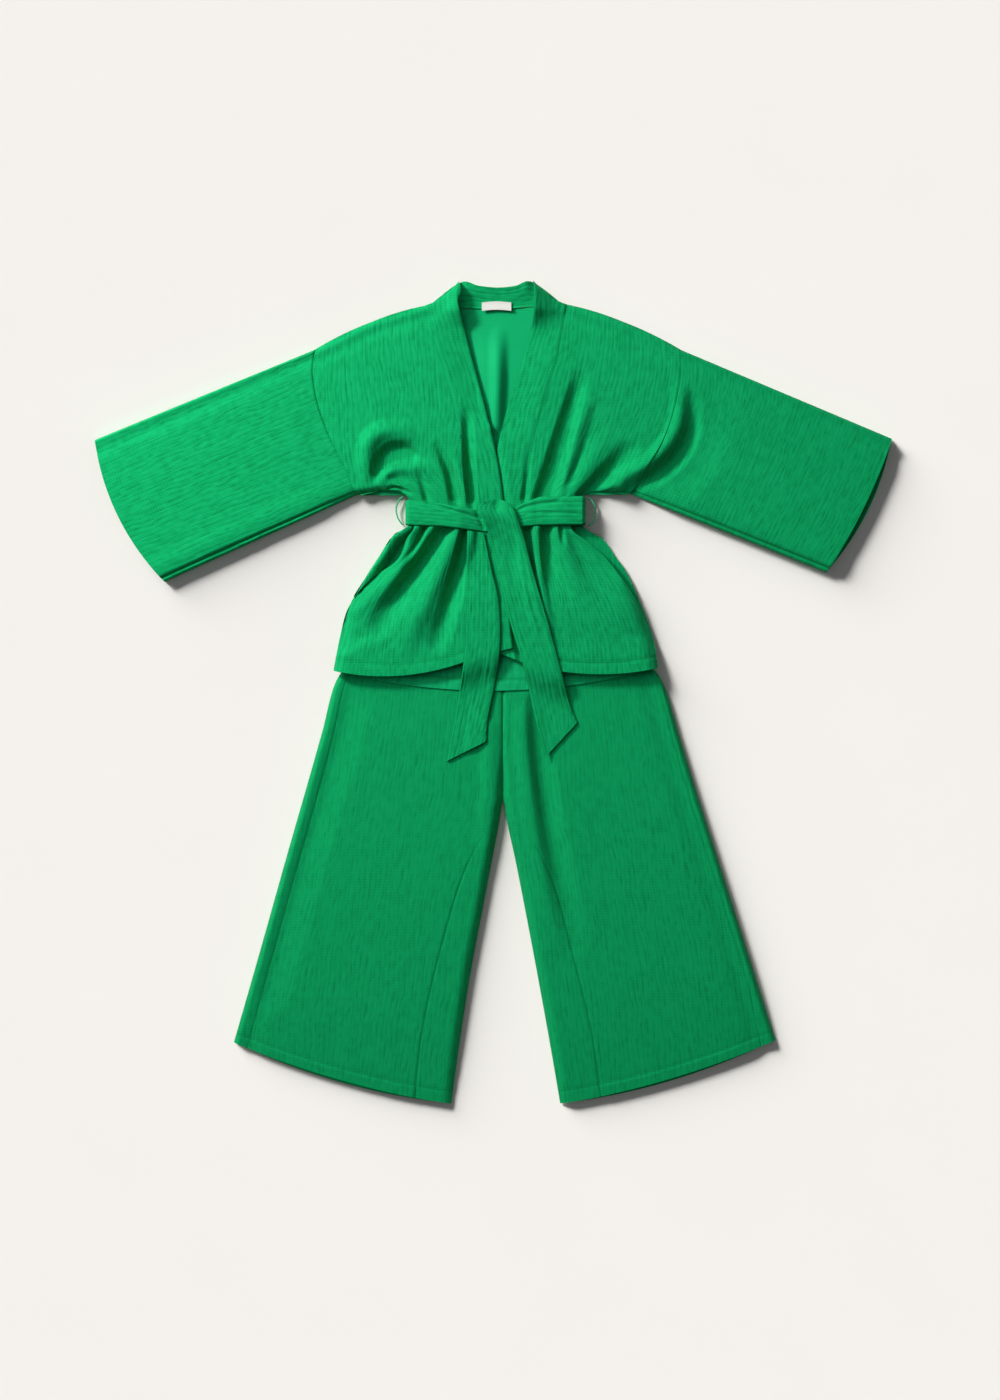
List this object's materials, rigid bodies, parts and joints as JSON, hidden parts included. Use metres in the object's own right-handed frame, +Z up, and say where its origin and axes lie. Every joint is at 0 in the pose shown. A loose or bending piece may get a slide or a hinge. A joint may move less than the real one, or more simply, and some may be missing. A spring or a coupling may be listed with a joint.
{
  "type": "pyjama set",
  "caption": "Crinkled kimono wrap jacket with wide sleeves and a tied belt, laid flat over wide-leg trousers.",
  "frame": {"origin": "middle of the set's outline, on the surface that it lies on", "axes": "+X to the right seen from above, +Y towards the neck, +Z up from the surface"},
  "size_m": [1.4328, 1.48, 0.0391],
  "materials": {
    "trousers_front_left": "crinkled double gauze",
    "trousers_back_left": "crinkled double gauze",
    "trousers_front_right": "crinkled double gauze",
    "trousers_back_right": "crinkled double gauze",
    "trousers_waistband": "crinkled double gauze",
    "jacket_back": "crinkled double gauze, smooth inside",
    "jacket_front_right": "crinkled double gauze",
    "jacket_front_left": "crinkled double gauze",
    "neckband_right": "crinkled double gauze",
    "neckband_left": "crinkled double gauze",
    "neckband_back": "crinkled double gauze",
    "neck_label": "woven satin, bare",
    "pocket_edge_left": "crinkled double gauze",
    "pocket_edge_right": "crinkled double gauze",
    "sleeve_left": "crinkled double gauze",
    "sleeve_right": "crinkled double gauze",
    "belt_waist": "crinkled double gauze",
    "belt_tail_right": "crinkled double gauze",
    "belt_tail_left": "crinkled double gauze",
    "thread_loop_left": "chained thread",
    "thread_loop_right": "chained thread"
  },
  "bodies": {
    "root": {"trousers_front_left": "trousers_front_left", "trousers_back_left": "trousers_back_left", "trousers_front_right": "trousers_front_right", "trousers_back_right": "trousers_back_right", "trousers_waistband": "trousers_waistband", "jacket_back": "jacket_back", "jacket_front_right": "jacket_front_right", "jacket_front_left": "jacket_front_left", "neckband_right": "neckband_right", "neckband_left": "neckband_left", "neckband_back": "neckband_back", "neck_label": "neck_label", "pocket_edge_left": "pocket_edge_left", "pocket_edge_right": "pocket_edge_right", "sleeve_left": "sleeve_left", "sleeve_right": "sleeve_right", "belt_waist": "belt_waist", "belt_tail_right": "belt_tail_right", "belt_tail_left": "belt_tail_left", "thread_loop_left": "thread_loop_left", "thread_loop_right": "thread_loop_right"}
  },
  "joints": []
}
